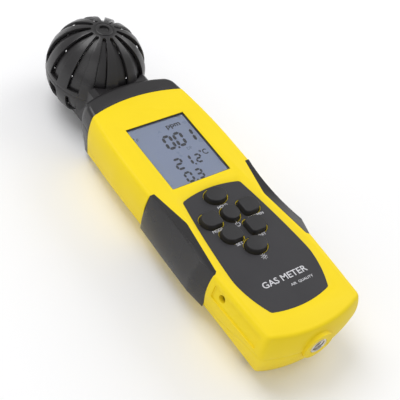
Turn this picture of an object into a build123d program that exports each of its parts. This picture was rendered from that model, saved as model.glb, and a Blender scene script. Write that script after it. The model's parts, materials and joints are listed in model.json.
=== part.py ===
from build123d import *

import os
from math import radians, sin, tan

# A handheld gas meter with a round caged sensor head, lying on its back.
# Millimetres. +X is the meter's right, +Y runs from its foot to the sensor head and +Z is up,
# out of the front face. The origin is under the middle of the meter, on what it rests on.

# ---------------------------------------------------------------- case, driving dimensions
THICKNESS = 34.5            # resting plane to front face
FOOT_HALF = 26.8            # half width of the front face at the foot corners
WAIST_HALF = 29.4           # half width of the front face at its widest
WAIST_Y = 6.0
SIDE_HEAD_R = 245.0         # the side edges curve in at this radius towards the head
FOOT_Y = -97.6              # foot corners
FOOT_BULGE = 5.6            # how far the foot edge bows out between its corners
CASE_TOP_Y = 46.9           # middle of the arc where the case shells end
CASE_TOP_DROP = 5.1         # how far that arc falls at the sides
COLLAR_LENGTH = 9.6         # collar, along the middle of the meter
COLLAR_TOP_DROP = 4.5
WALL = 2.4                  # case wall
FOOT_CORNER_R = 3.0
COLLAR_CORNER_R = 6.5
FRONT_EDGE_R = 2.0
COLLAR_EDGE_R = 2.6
BELLY_Z = 21.5              # height of the widest section
BELLY_GROW = 0.6
KEEL_Z = 10.0
KEEL_SHRINK = 1.6
SOLE_SHRINK = 3.0
FOOT_LEAN = 2.2             # how far the end face leans out between front and middle
KEEL_LEAN = 0.4
SOLE_TUCK = 3.8             # how far it rolls back under at the sole
FOOT_FLARE = 0.3            # share of the lean that also widens the foot
BACK_FLAT_HALF = 15.5       # flat strip down the middle of the back
BACK_EDGE_HALF = 26.0       # where the sloping back meets the side walls
BACK_EDGE_Z = 10.0
BACK_ROUND = 0.9            # how far the slope bows out

PARTING_FOOT_Z = 21.0       # parting line of the two shells, seen from the side
PARTING_SIDE_Z = 12.3
PARTING_STEP_FOOT_Y = -95.0
PARTING_STEP_HEAD_Y = -66.0
PARTING_GAP = 0.12
LIP_WALL = 1.0
LIP_RISE = 1.3
LIP_FIT = 0.06
LIP_HEAD_Y = 33.0

# ---------------------------------------------------------------- display
WINDOW_W = 34.0
WINDOW_H = 40.7
WINDOW_Y = 8.65
WINDOW_FIT = 0.1
LENS_T = 0.9
LENS_SINK = 0.2
GASKET_WALL = 0.5
LCD_MARGIN = 2.2
LCD_BED = 1.0               # bed for the glass in the inside of the front wall
LCD_GAP = 0.2
LCD_T = 2.0
BACKLIGHT_T = 1.9
STRIP_W = 2.0
STRIP_LEDGE = 3.6           # bare glass at the foot side, over the contact strip
HOLDER_WALL = 1.4
HOLDER_FIT = 0.2
HOLDER_SHELF = 1.4

# ---------------------------------------------------------------- keypad
PANEL_SINK = 0.8            # label surface under the front face
PANEL_BEVEL = 2.8
PANEL_T = 0.35
PANEL_GAP = 0.08
PANEL_HEAD_Y = -17.1
PANEL_SHOULDER_HALF = 16.8
PANEL_SHOULDER_Y = -19.6
PANEL_WIDE_HALF = 22.4
PANEL_WIDE_Y = -66.5
PANEL_FOOT_HALF = 16.6
PANEL_FOOT_CORNER_Y = -87.6
PANEL_FOOT_Y = -90.1
PANEL_CORNER_R = 1.8
PANEL_FLANK_BOW = 0.7
PANEL_HIP_BOW = 1.2
PANEL_HIP_R = 30.0
KEY_RISE = 2.3              # key crown over the label
KEY_GAP = 0.35              # gap round each key in the case
LABEL_GAP = 0.25            # how far the label stands back from each hole
KEY_TRAVEL = 0.8
KEY_FLANGE = 0.65
KEY_FLANGE_T = 1.0
KEY_EDGE_R = 0.5
KEY_FREE = 0.15             # air between a key and what it rests against or presses
KEY_STEM_R = 1.6
POWER_R = 4.6
OVAL_W = 11.6
OVAL_H = 9.2
PETAL_W = 10.3
PETAL_H = 9.2
PETAL_INNER_R = 2.4
PETAL_OUTER_R = 4.4
KEY_ROW_HEAD_Y = -22.8
KEY_ROW_POWER_Y = -34.5
KEY_ROW_WIDE_Y = -34.2
KEY_ROW_NARROW_Y = -44.9
KEY_ROW_FOOT_Y = -54.6
KEY_WIDE_X = 11.4
KEY_NARROW_X = 7.3

# ---------------------------------------------------------------- circuit boards
BOARD_TOP_Z = 25.4
BOARD_T = 1.6
BOARD_HALF = 21.5
BOARD_FOOT_Y = -84.5
BOARD_HEAD_Y = 38.5
BOARD_NOTCH = 0.5
SWITCH_W = 6.0
SWITCH_T = 1.6
PLUNGER_R = 1.5
PLUNGER_T = 0.7
PROCESSOR_W = 12.0
PROCESSOR_T = 1.6
BUZZER_R = 6.0
BUZZER_T = 5.0
CONNECTOR_W = 12.0
CONNECTOR_L = 4.6
CONNECTOR_T = 3.2
RIBBON_W = 9.0
RIBBON_T = 0.8

# ---------------------------------------------------------------- grips
GRIP_SEAT = 1.2             # depth of the seat that each grip lies in
GRIP_TOP_Y = -10.4
GRIP_STEP_Y = -51.5
GRIP_FOOT_Y = -60.2
GRIP_NOTCH_Y = -31.1
GRIP_NOTCH_R = 6.0
GRIP_TOP_INSET = 2.5        # grip corners, in from the case's side edge
GRIP_NOTCH_INSET = 6.4
GRIP_FOOT_INSET = 1.9
GRIP_CREASE_TOP = -0.2      # the crease at the front face, out from the case's side edge
GRIP_CREASE_MID = -1.5
GRIP_CREASE_STEP = 1.3
GRIP_CREASE_FOOT = -0.6
GRIP_BULGE = 1.7            # bulge at the middle height, over the crease
GRIP_BULGE_Z = 22.0
GRIP_LOW_SHRINK = 0.4
GRIP_BELLY_PROUD = 1.2

# ---------------------------------------------------------------- battery and its door
BATTERY_L = 48.5
BATTERY_W = 26.5
BATTERY_T = 17.5
BATTERY_FOOT_Y = -92.5
BATTERY_Z = 2.6
BATTERY_FIT = 0.5
BATTERY_STUD_R = 2.9
BATTERY_STUD_L = 3.0
BATTERY_STUD_X = 6.4
BAY_WALL = 1.2
BAY_HEAD_Y = -38.4
DOOR_HALF = 13.8
DOOR_T = 2.0
DOOR_TONGUE = 1.1
DOOR_TONGUE_T = 0.8
DOOR_TONGUE_Z = 0.8
DOOR_HEAD_Y = -40.5
DOOR_FIT = 0.3
DOOR_RIDGES = 5
DOOR_RIDGE_PITCH = 1.8
DOOR_RIDGE_R = 0.45
DOOR_RIDGE_Y = -49.0

# ---------------------------------------------------------------- foot socket and side socket
INSERT_R = 4.45
INSERT_BORE_R = 2.6         # minor radius of a quarter inch camera thread
INSERT_L = 9.0
INSERT_Z = 22.5
BOSS_R = 7.9
BOSS_PROUD = 0.9
BOSS_GAP = 0.12
JACK_R = 1.8
JACK_HOLE_R = 2.0
JACK_NOSE_R = 2.6
JACK_NOSE_L = 0.15
JACK_DEPTH = 11.0
JACK_Y = -69.3
JACK_Z = 27.9
JACK_W = 6.4
JACK_INSET = 2.6            # socket body, in from the side edge
POCKET_DEPTH = 0.55
POCKET_FOOT_Y = -94.8
POCKET_HEAD_Y = -63.6
POCKET_LOW_Z = 23.4
POCKET_HIGH_Z = 31.6
POCKET_R = 0.8

# ---------------------------------------------------------------- sensor head
BALL_R = 25.3
BALL_FOOT_Y = 55.0          # foot side of the ball
BALL_WALL = 1.4
RIBS = 12
SLOT_DEG = 15.0
SLOT_START_R = 7.0
SEAM_DROP = 1.0             # the head's seam lies this far under the ball's middle
SEAM_GAP = 0.1
BAND_HALF = 2.3             # solid band each side of the seam
BAFFLE_GAP = 0.35
BAFFLE_WALL = 1.6
BAFFLE_SLOT_DEG = 16.5
BAFFLE_SLOT_START_R = 6.0
BAFFLE_RIM = 1.6
BAFFLE_FIT = 0.25
BAFFLE_DOOR_FIT = 0.7       # air round the sensor board where it enters the inner cage
HUB_HOLE_R = 2.6
HUB_HOLE_DEPTH = 1.3
HUB_BOSS_R = 4.0            # boss behind each pole, which locates the inner cage
HUB_BOSS_L = 3.2
HUB_RING_R = 4.5
HUB_RING_DEPTH = 0.3
NECK_HALF = 16.8
NECK_CHAMFER = 2.4
NECK_TOP_Z = 32.6
NECK_LOW_Z = 7.0
NECK_START_Y = 50.0
NECK_WALL = 2.0
SPIGOT_L = 4.5
SPIGOT_WALL = 1.4
SPIGOT_FIT = 0.08
COLLAR_GAP = 0.15
SENSOR_BOARD_HALF = 8.5
SENSOR_BOARD_Z = 23.4
SENSOR_BOARD_FOOT_Y = 46.0
SENSOR_DISC_R = 12.0
GAS_SENSOR_R = 10.1
GAS_SENSOR_T = 12.5
MEMBRANE_R = 7.0
MEMBRANE_T = 0.5
CHIP_W = 4.0
CHIP_T = 1.4
CHIP_Y = 64.0
POST_R = 2.0
POST_Y = 55.0
POST_X = 5.5

# ---------------------------------------------------------------- fasteners
SCREW_R = 1.25
SCREW_HEAD_R = 2.5
SCREW_HEAD_T = 1.6
SCREW_FIT = 0.15
SCREW_BITE = 8.0
SCREW_SEAT_Z = 6.5
PILLAR_R = 3.4
CASE_SCREW_FOOT = (19.5, -88.5)
CASE_SCREW_HEAD = (21.0, 37.5)
BOARD_SCREW_FOOT = (16.5, -80.5)
BOARD_SCREW_HEAD = (15.0, 35.8)
BOARD_POST_R = 2.2
BOARD_SCREW_BITE = 4.0
NECK_SCREW_X = 11.8
NECK_SCREW_Y = 55.5
DRIVE_W = 0.7

# ---------------------------------------------------------------- worked-out heights and places
FRONT_Z = THICKNESS
BALL_Y = BALL_FOOT_Y + BALL_R
BALL_Z = BALL_R
SEAM_Z = BALL_Z - SEAM_DROP
PANEL_Z = FRONT_Z - PANEL_SINK
INNER_Z = FRONT_Z - WALL
COLLAR_TOP_Y = CASE_TOP_Y + COLLAR_LENGTH
LENS_TOP_Z = FRONT_Z - LENS_SINK
LENS_LOW_Z = LENS_TOP_Z - LENS_T
LCD_TOP_Z = INNER_Z + LCD_BED - LCD_GAP
LCD_LOW_Z = LCD_TOP_Z - LCD_T
LIGHT_LOW_Z = LCD_LOW_Z - BACKLIGHT_T
LCD_W = WINDOW_W + 2 * LCD_MARGIN
LCD_H = WINDOW_H + 2 * LCD_MARGIN
LCD_FOOT_Y = WINDOW_Y - LCD_H / 2
LCD_HEAD_Y = WINDOW_Y + LCD_H / 2
BATTERY_HEAD_Y = BATTERY_FOOT_Y + BATTERY_L
BAY_ROOF_Z = BATTERY_Z + BATTERY_T + BATTERY_FIT
END_Y = FOOT_Y - FOOT_BULGE - FOOT_LEAN - BOSS_PROUD
SCREW_HOLE_R = SCREW_R + SCREW_FIT
FAR = 150.0

CASE_SCREWS = [(sx * x, y) for x, y in (CASE_SCREW_FOOT, CASE_SCREW_HEAD) for sx in (-1, 1)]
BOARD_SCREWS = [(sx * x, y) for x, y in (BOARD_SCREW_FOOT, BOARD_SCREW_HEAD) for sx in (-1, 1)]
NECK_SCREWS = [(sx * NECK_SCREW_X, NECK_SCREW_Y) for sx in (-1, 1)]


# ---------------------------------------------------------------- simple shapes
def block(x0, x1, y0, y1, z0, z1):
    """A box from its limits."""
    return Pos((x0 + x1) / 2, (y0 + y1) / 2, (z0 + z1) / 2) * Box(x1 - x0, y1 - y0, z1 - z0)


def rod(x, y, z0, z1, radius):
    """An upright round bar."""
    return Pos(x, y, (z0 + z1) / 2) * Cylinder(radius, z1 - z0)


def rod_x(y, z, x0, x1, radius):
    """A round bar along X."""
    return Pos((x0 + x1) / 2, y, z) * Rot(Y=90) * Cylinder(radius, x1 - x0)


def rod_y(x, z, y0, y1, radius):
    """A round bar along Y."""
    return Pos(x, (y0 + y1) / 2, z) * Rot(X=90) * Cylinder(radius, y1 - y0)


def prism(face, z0, z1):
    """A face drawn on z = 0, made a solid from z0 to z1."""
    return extrude(Pos(0, 0, z0) * face, amount=z1 - z0)


def side_prism(points):
    """A polygon of (y, z) points, made a solid right across the meter."""
    wire = Polyline(*[(0, y, z) for y, z in points], close=True)
    return extrude(make_face(wire), amount=FAR, dir=(1, 0, 0), both=True)


def mirrored(shape):
    """The same shape on the other side of the meter."""
    return mirror(shape, about=Plane.YZ)


# ---------------------------------------------------------------- case envelope
def edge_half_width(y):
    """Half width of the front face at y: each side edge is two shallow arcs from the waist."""
    foot_radius = (WAIST_Y - FOOT_Y) ** 2 / (2 * (WAIST_HALF - FOOT_HALF))
    radius = SIDE_HEAD_R if y > WAIST_Y else foot_radius
    return WAIST_HALF - (y - WAIST_Y) ** 2 / (2 * radius)


def outline_face(grow, lean):
    """The meter's outline from the front, grown sideways and leant out at the foot."""
    foot_y = FOOT_Y - lean
    foot_x = FOOT_HALF + grow + lean * FOOT_FLARE
    waist_x = WAIST_HALF + grow
    top_y = COLLAR_TOP_Y - COLLAR_TOP_DROP
    shoulder_x = edge_half_width(top_y) + grow
    shoulder_y = top_y + grow
    edges = [ThreePointArc((-foot_x, foot_y), (0, foot_y - FOOT_BULGE), (foot_x, foot_y))]
    for side in (1, -1):
        waist = (side * waist_x, WAIST_Y)
        edges.append(TangentArc(waist, (side * foot_x, foot_y), tangent=(0, -1)))
        edges.append(TangentArc(waist, (side * shoulder_x, shoulder_y), tangent=(0, 1)))
    edges.append(ThreePointArc(
        (shoulder_x, shoulder_y), (0, COLLAR_TOP_Y + grow), (-shoulder_x, shoulder_y),
    ))
    face = make_face(edges)
    corners = face.vertices().sort_by(Axis.Y)
    face = fillet(corners[:2], FOOT_CORNER_R)
    corners = face.vertices().filter_by(lambda v: abs(v.Y - shoulder_y) < PANEL_GAP)
    return fillet(corners, COLLAR_CORNER_R)


def back_region(inset):
    """All the space over the back's profile: a flat strip, then slopes up to the side walls."""
    slope_mid = ((BACK_FLAT_HALF + BACK_EDGE_HALF) / 2 + BACK_ROUND, BACK_EDGE_Z / 2 - BACK_ROUND)
    run = FAR / 2
    wing = (BACK_EDGE_HALF + run, BACK_EDGE_Z + run)
    right = [(BACK_FLAT_HALF, 0), slope_mid, (BACK_EDGE_HALF, BACK_EDGE_Z)]
    left = [(-x, z) for x, z in right]
    to3 = lambda p: (p[0], 0, p[1])
    edges = [
        Line(to3(left[0]), to3(right[0])),
        ThreePointArc(*[to3(p) for p in right]),
        Line(to3(right[2]), to3(wing)),
        Line(to3(wing), (-wing[0], 0, wing[1])),
        Line((-wing[0], 0, wing[1]), to3(left[2])),
        ThreePointArc(*[to3(p) for p in reversed(left)]),
    ]
    face = make_face(edges)
    if inset:
        face = offset(face, amount=-inset)
    return extrude(face, amount=FAR, dir=(0, 1, 0), both=True)


def envelope(inset=0.0):
    """The whole case and collar as one solid, its skin set in by inset."""
    sections = [
        (FRONT_Z - inset, 0.0, 0.0),
        (BELLY_Z, BELLY_GROW, FOOT_LEAN),
        (KEEL_Z, -KEEL_SHRINK, KEEL_LEAN),
        (0.0, -SOLE_SHRINK, -SOLE_TUCK),
    ]
    faces = [Pos(0, 0, z) * outline_face(grow - inset, lean - inset) for z, grow, lean in sections]
    return loft(faces) & back_region(inset)


def case_region(shift):
    """The space on the foot side of the arc where the case ends, the arc moved by shift."""
    side = WAIST_HALF + WALL
    drop_y = CASE_TOP_Y - CASE_TOP_DROP * (side / WAIST_HALF) ** 2 + shift
    edges = [
        ThreePointArc((-side, drop_y), (0, CASE_TOP_Y + shift), (side, drop_y)),
        Line((side, drop_y), (side, -FAR)),
        Line((side, -FAR), (-side, -FAR)),
        Line((-side, -FAR), (-side, drop_y)),
    ]
    wide = block(-FAR, FAR, -FAR, drop_y - 1, -FAR, FAR)
    return prism(make_face(edges), -FAR, FAR) + wide


def parting_region(shift):
    """The space over the parting line of the two shells, the line moved up by shift."""
    wire = FilletPolyline(
        (0, -FAR, PARTING_FOOT_Z + shift),
        (0, PARTING_STEP_FOOT_Y, PARTING_FOOT_Z + shift),
        (0, PARTING_STEP_HEAD_Y, PARTING_SIDE_Z + shift),
        (0, FAR, PARTING_SIDE_Z + shift),
        radius=20.0,
    )
    rest = Polyline(
        (0, FAR, PARTING_SIDE_Z + shift), (0, FAR, FAR), (0, -FAR, FAR), (0, -FAR, PARTING_FOOT_Z + shift)
    )
    return extrude(make_face([*wire.edges(), *rest.edges()]), amount=FAR, dir=(1, 0, 0), both=True)


# ---------------------------------------------------------------- keys and label outlines
def power_face(grow):
    """The round power key."""
    return Circle(POWER_R + grow)


def oval_face(grow):
    """The wide oval keys over and under the others."""
    return Ellipse(OVAL_W / 2 + grow, OVAL_H / 2 + grow)


def petal_face(grow):
    """A side key: nearly square towards the middle, round on its outer side."""
    width = PETAL_W + 2 * grow
    height = PETAL_H + 2 * grow
    face = Rectangle(width, height)
    inner = face.vertices().sort_by(Axis.X)[:2]
    face = fillet(inner, PETAL_INNER_R + grow)
    outer = face.vertices().sort_by(Axis.X)[-2:]
    return fillet(outer, PETAL_OUTER_R + grow)


def petal_left_face(grow):
    """The same key for the left side."""
    return mirror(petal_face(grow), about=Plane.YZ)


KEYS = {
    "key_hold": (0, KEY_ROW_HEAD_Y, oval_face),
    "key_power": (0, KEY_ROW_POWER_Y, power_face),
    "key_mode": (-KEY_WIDE_X, KEY_ROW_WIDE_Y, petal_left_face),
    "key_max_min": (KEY_WIDE_X, KEY_ROW_WIDE_Y, petal_face),
    "key_set": (-KEY_NARROW_X, KEY_ROW_NARROW_Y, petal_left_face),
    "key_unit": (KEY_NARROW_X, KEY_ROW_NARROW_Y, petal_face),
    "key_light": (0, KEY_ROW_FOOT_Y, oval_face),
}


def panel_face(grow):
    """The keypad label's outline: narrow shoulders, wide hips and rounded ends."""
    shoulder = (PANEL_SHOULDER_HALF + grow, PANEL_SHOULDER_Y + grow)
    wide = (PANEL_WIDE_HALF + grow, PANEL_WIDE_Y)
    corner = (PANEL_FOOT_HALF + grow, PANEL_FOOT_CORNER_Y - grow)
    flank = ((shoulder[0] + wide[0]) / 2 + PANEL_FLANK_BOW, (shoulder[1] + wide[1]) / 2)
    hip = ((wide[0] + corner[0]) / 2 + PANEL_HIP_BOW, (wide[1] + corner[1]) / 2)
    flip = lambda p: (-p[0], p[1])
    edges = [
        ThreePointArc(flip(shoulder), (0, PANEL_HEAD_Y + grow), shoulder),
        ThreePointArc(shoulder, flank, wide),
        ThreePointArc(wide, hip, corner),
        ThreePointArc(corner, (0, PANEL_FOOT_Y - grow), flip(corner)),
        ThreePointArc(flip(corner), flip(hip), flip(wide)),
        ThreePointArc(flip(wide), flip(flank), flip(shoulder)),
    ]
    face = make_face(edges)
    points = face.vertices().sort_by(Axis.Y)
    face = fillet([*points[:2], *points[-2:]], PANEL_CORNER_R + grow)
    hips = face.vertices().filter_by(lambda v: abs(v.Y - PANEL_WIDE_Y) < PANEL_GAP)
    return fillet(hips, PANEL_HIP_R)


# ---------------------------------------------------------------- grips
def grip_region(shift):
    """Where the right grip lies on the case, seen from the front."""
    top_x = edge_half_width(GRIP_TOP_Y) - GRIP_TOP_INSET
    foot_x = edge_half_width(GRIP_FOOT_Y) - GRIP_FOOT_INSET
    points = [
        (top_x, GRIP_TOP_Y - shift),
        (edge_half_width(GRIP_NOTCH_Y) - GRIP_NOTCH_INSET + shift, GRIP_NOTCH_Y),
        (foot_x, GRIP_FOOT_Y + 1.0 + shift),
        (foot_x + 1.2, GRIP_FOOT_Y + shift),
        (FAR, GRIP_FOOT_Y + shift),
        (FAR, GRIP_TOP_Y - shift),
    ]
    face = make_face(Polyline(*points, close=True))
    notch = face.vertices().sort_by(Axis.X)[0]
    return prism(fillet(notch, GRIP_NOTCH_R), -FAR, FAR)


def grip_section(z, top, mid, step, foot):
    """One level of the grip's skin, from its inner side out to its pad."""
    inner = edge_half_width(GRIP_NOTCH_Y) - GRIP_NOTCH_INSET - 8.0
    edges = [
        ThreePointArc((top, GRIP_TOP_Y), (mid, GRIP_NOTCH_Y), (step, GRIP_STEP_Y)),
        Line((step, GRIP_STEP_Y), (foot, GRIP_FOOT_Y)),
        Line((foot, GRIP_FOOT_Y), (inner, GRIP_FOOT_Y)),
        Line((inner, GRIP_FOOT_Y), (inner, GRIP_TOP_Y)),
        Line((inner, GRIP_TOP_Y), (top, GRIP_TOP_Y)),
    ]
    return Pos(0, 0, z) * make_face(edges)


def grip_skin():
    """The right grip's outer form before it is fitted to the case."""
    places = (GRIP_TOP_Y, GRIP_NOTCH_Y, GRIP_STEP_Y, GRIP_FOOT_Y)
    proud = (GRIP_CREASE_TOP, GRIP_CREASE_MID, GRIP_CREASE_STEP, GRIP_CREASE_FOOT)
    crease = [edge_half_width(y) + out for y, out in zip(places, proud)]
    rise = (0.9, GRIP_BULGE + 1.6, GRIP_BULGE, 0.7)
    bulge = [c + r for c, r in zip(crease, rise)]
    low = [b - 1.6 - GRIP_LOW_SHRINK for b in bulge]
    return loft([
        grip_section(FRONT_Z, *crease),
        grip_section(GRIP_BULGE_Z, *bulge),
        grip_section(KEEL_Z - 3.0, *low),
    ])


# ---------------------------------------------------------------- shells
def sunk_panel_cut():
    """The keypad's shallow bed: a wide bevel down to the label's floor."""
    bevel = loft([
        Pos(0, 0, FRONT_Z + PANEL_SINK) * panel_face(2 * PANEL_BEVEL - PANEL_GAP),
        Pos(0, 0, PANEL_Z) * panel_face(PANEL_GAP),
    ], ruled=True)
    return bevel + prism(panel_face(PANEL_GAP), PANEL_Z - PANEL_T, PANEL_Z)


def key_holes(grow, z0, z1):
    """Through cuts for all the keys."""
    cuts = [prism(Pos(x, y) * face(grow), z0, z1) for x, y, face in KEYS.values()]
    return Part() + cuts


def front_pillars():
    """Screw pillars for the case and posts for the circuit board."""
    solids = [rod(x, y, PARTING_SIDE_Z, INNER_Z + 0.5, PILLAR_R) for x, y in CASE_SCREWS]
    solids += [rod(x, y, BOARD_TOP_Z, INNER_Z + 0.5, BOARD_POST_R) for x, y in BOARD_SCREWS]
    return Part() + solids


def pillar_parting_z(y):
    """Height of the parting line at y, along its straight runs."""
    span = PARTING_STEP_HEAD_Y - PARTING_STEP_FOOT_Y
    share = min(max((y - PARTING_STEP_FOOT_Y) / span, 0.0), 1.0)
    return PARTING_FOOT_Z + share * (PARTING_SIDE_Z - PARTING_FOOT_Z)


def front_screw_holes():
    """Blind holes that the case and board screws bite into."""
    holes = []
    for x, y in CASE_SCREWS:
        start = pillar_parting_z(y)
        holes.append(rod(x, y, start - 3.0, start + SCREW_BITE + 1.0, SCREW_R))
    for x, y in BOARD_SCREWS:
        holes.append(rod(x, y, BOARD_TOP_Z - 1.0, BOARD_TOP_Z + BOARD_SCREW_BITE + 0.5, SCREW_R))
    return Part() + holes


def foot_boss(grow):
    """The round boss that carries the camera insert."""
    return rod_y(0, INSERT_Z, END_Y, END_Y + INSERT_L + BOSS_PROUD + 1.5, BOSS_R + grow)


def side_pocket(skin_under):
    """The shallow plate-shaped pocket on the left side."""
    shape = block(-FAR, -FOOT_HALF / 2, POCKET_FOOT_Y, POCKET_HEAD_Y, POCKET_LOW_Z, POCKET_HIGH_Z)
    shape = fillet(shape.edges().filter_by(Axis.X), POCKET_R)
    return shape - skin_under


def make_front_shell(skin, hollow):
    """The yellow front half of the case."""
    upper = parting_region(PARTING_GAP / 2)
    seat = envelope(GRIP_SEAT)
    shell = (skin - hollow + (front_pillars() & skin)) & upper & case_region(0)
    grip = grip_region(0) - seat
    shell = shell - sunk_panel_cut() - key_holes(KEY_GAP, INNER_Z - 1, FRONT_Z + 1)
    shell = shell - grip - mirrored(grip) - side_pocket(envelope(POCKET_DEPTH))
    shell = shell + foot_boss(0) - rod_y(0, INSERT_Z, END_Y - 1, END_Y + INSERT_L, INSERT_R)
    shell = shell - rod_x(JACK_Y, JACK_Z, -FAR, -FOOT_HALF + WALL * 2, JACK_HOLE_R)
    shell = shell - front_screw_holes()
    bed_half = LCD_W / 2 + LCD_GAP
    bed = block(-bed_half, bed_half, LCD_FOOT_Y - LCD_GAP, LCD_HEAD_Y + LCD_GAP,
                INNER_Z - 1, INNER_Z + LCD_BED)
    return shell - bed - block(-WINDOW_W / 2, WINDOW_W / 2, WINDOW_Y - WINDOW_H / 2,
                               WINDOW_Y + WINDOW_H / 2, INNER_Z - 1, FRONT_Z + 1)


def make_back_shell(skin, hollow):
    """The yellow back half, with the battery bay and the joint's inner lip."""
    under = block(-FAR, FAR, -FAR, FAR, -FAR, FAR) - parting_region(-PARTING_GAP / 2)
    case = case_region(0)
    bay_half = BATTERY_W / 2 + BATTERY_FIT
    bay_foot = BATTERY_FOOT_Y - BATTERY_FIT
    pillars = Part() + [rod(x, y, 0, PARTING_FOOT_Z, PILLAR_R + 0.6) for x, y in CASE_SCREWS]
    shell = (skin - hollow + (pillars & skin)) & under & case
    lip = envelope(WALL + LIP_FIT) - envelope(WALL + LIP_WALL)
    root = envelope(WALL - LIP_WALL / 2) - envelope(WALL + LIP_WALL)
    lip_top = block(-FAR, FAR, -FAR, FAR, -FAR, FAR) - parting_region(LIP_RISE)
    reach = block(-FAR, FAR, -FAR, LIP_HEAD_Y, -FAR, FAR)
    lip = lip & lip_top & parting_region(-2 * LIP_RISE) & reach
    root = root & under & parting_region(-2 * LIP_RISE) & reach
    shell = shell + lip + root
    bay = block(-bay_half - BAY_WALL, bay_half + BAY_WALL, bay_foot - BAY_WALL, BAY_HEAD_Y,
                WALL / 2, BAY_ROOF_Z + BAY_WALL)
    bay = bay - [rod(x, y, PARTING_SIDE_Z, FRONT_Z, PILLAR_R + BOARD_NOTCH) for x, y in CASE_SCREWS]
    shell = shell + (bay & skin)
    shell = shell - block(-bay_half, bay_half, bay_foot, BAY_HEAD_Y - BAY_WALL, DOOR_T, BAY_ROOF_Z)
    shell = shell - block(-bay_half, bay_half, bay_foot, DOOR_HEAD_Y, -1, DOOR_T + WALL)
    side = DOOR_HALF + DOOR_FIT
    shell = shell - block(-side, side, -FAR, DOOR_HEAD_Y + DOOR_FIT, -1, DOOR_T + DOOR_FIT / 3)
    groove = side + DOOR_TONGUE
    tongue_low = DOOR_TONGUE_Z - DOOR_FIT / 3
    tongue_high = DOOR_TONGUE_Z + DOOR_TONGUE_T + DOOR_FIT / 3
    shell = shell - block(-groove, groove, -FAR, DOOR_HEAD_Y + DOOR_FIT, tongue_low, tongue_high)
    wires = [rod(sx * BATTERY_STUD_X, BAY_HEAD_Y - BAY_WALL - 1.6, BAY_ROOF_Z - 1, FRONT_Z, 1.2)
             for sx in (-1, 1)]
    shell = shell - wires
    seat = envelope(GRIP_SEAT)
    grip = grip_region(0) - seat
    shell = shell - grip - mirrored(grip) - foot_boss(BOSS_GAP)
    for x, y in CASE_SCREWS:
        shell = shell - rod(x, y, -1, SCREW_SEAT_Z, SCREW_HEAD_R + SCREW_FIT)
        shell = shell - rod(x, y, -1, FRONT_Z, SCREW_HOLE_R)
    return shell


def make_grip(skin_seat):
    """One black rubber grip, sitting in its seat round the case edge."""
    body = grip_skin() & grip_region(PANEL_GAP / 2) & back_region(-GRIP_BELLY_PROUD)
    body = body & block(-FAR, FAR, -FAR, FAR, 0, FRONT_Z)
    return body - skin_seat


def make_door():
    """The sliding battery door with its side tongues and thumb grooves."""
    plate = block(-DOOR_HALF, DOOR_HALF, -FAR, DOOR_HEAD_Y, 0, DOOR_T)
    tongue = DOOR_HALF + DOOR_TONGUE
    plate = plate + block(-tongue, tongue, -FAR, DOOR_HEAD_Y, DOOR_TONGUE_Z, DOOR_TONGUE_Z + DOOR_TONGUE_T)
    for i in range(DOOR_RIDGES):
        y = DOOR_RIDGE_Y - i * DOOR_RIDGE_PITCH
        plate = plate - rod_x(y, 0, -DOOR_HALF / 2, DOOR_HALF / 2, DOOR_RIDGE_R)
    return plate & envelope()


# ---------------------------------------------------------------- sensor head
def slot_cutters(count, phase, angle, start_r, z0, z1):
    """Wedge-shaped cutters round the ball's upright axis, rounded at their inner ends."""
    half = tan(radians(angle / 2))
    end_r = start_r * sin(radians(angle / 2))
    outer = BALL_R * 1.5
    face = make_face(Polyline(
        (start_r, -start_r * half), (outer, -outer * half), (outer, outer * half),
        (start_r, start_r * half), close=True,
    ))
    face = face + Pos(start_r, 0) * Circle(end_r)
    blade = prism(face, z0, z1)
    cutters = [Pos(0, BALL_Y, 0) * Rot(Z=phase + 360 * i / count) * blade for i in range(count)]
    return Part() + cutters


def ball(radius):
    """A full ball at the head's middle."""
    return Pos(0, BALL_Y, BALL_Z) * Sphere(radius)


def neck_block(inset):
    """The neck's solid form from the collar to the ball's middle."""
    half = NECK_HALF - inset
    shape = block(-half, half, NECK_START_Y, BALL_Y, NECK_LOW_Z + inset, NECK_TOP_Z - inset)
    return chamfer(shape.edges().filter_by(Axis.Y), NECK_CHAMFER)


def head_solid(skin, hollow, front):
    """One moulded half of the head: collar, neck and slotted ball."""
    if front:
        half_space = block(-FAR, FAR, -FAR, FAR, SEAM_Z + SEAM_GAP / 2, FAR)
        slot_z = (SEAM_Z + BAND_HALF, BALL_Z + 2 * BALL_R)
    else:
        half_space = block(-FAR, FAR, -FAR, FAR, -FAR, SEAM_Z - SEAM_GAP / 2)
        slot_z = (-BALL_R, SEAM_Z - BAND_HALF)
    cage = (ball(BALL_R) - ball(BALL_R - BALL_WALL)) & half_space
    cage = cage - slot_cutters(RIBS, 0, SLOT_DEG, SLOT_START_R, *slot_z)
    outside = block(-FAR, FAR, -FAR, FAR, -FAR, FAR) - case_region(COLLAR_GAP)
    collar = skin & outside
    neck = neck_block(0) - ball(BALL_R - 0.4)
    channel = neck_block(NECK_WALL) & block(-FAR, FAR, 0, BALL_Y - BALL_R * 0.6, -FAR, FAR)
    long_channel = Pos(0, NECK_START_Y - COLLAR_TOP_Y, 0) * channel + channel
    shape = (collar - hollow - ball(BALL_R - BALL_WALL)) + neck - long_channel
    root = envelope(WALL - LIP_WALL / 2) - envelope(WALL + SPIGOT_WALL)
    root = root & outside & case_region(COLLAR_GAP + 2.0)
    spigot = envelope(WALL + SPIGOT_FIT) - envelope(WALL + SPIGOT_WALL)
    behind = block(-FAR, FAR, -FAR, FAR, -FAR, FAR) - case_region(-SPIGOT_L)
    spigot = spigot & behind & case_region(COLLAR_GAP)
    spigot = spigot - [rod(x, y, -1, FAR, PILLAR_R + LIP_WALL) for x, y in CASE_SCREWS]
    shape = (shape + root + spigot) & half_space
    shape = shape + (cage - channel)
    return shape


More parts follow.
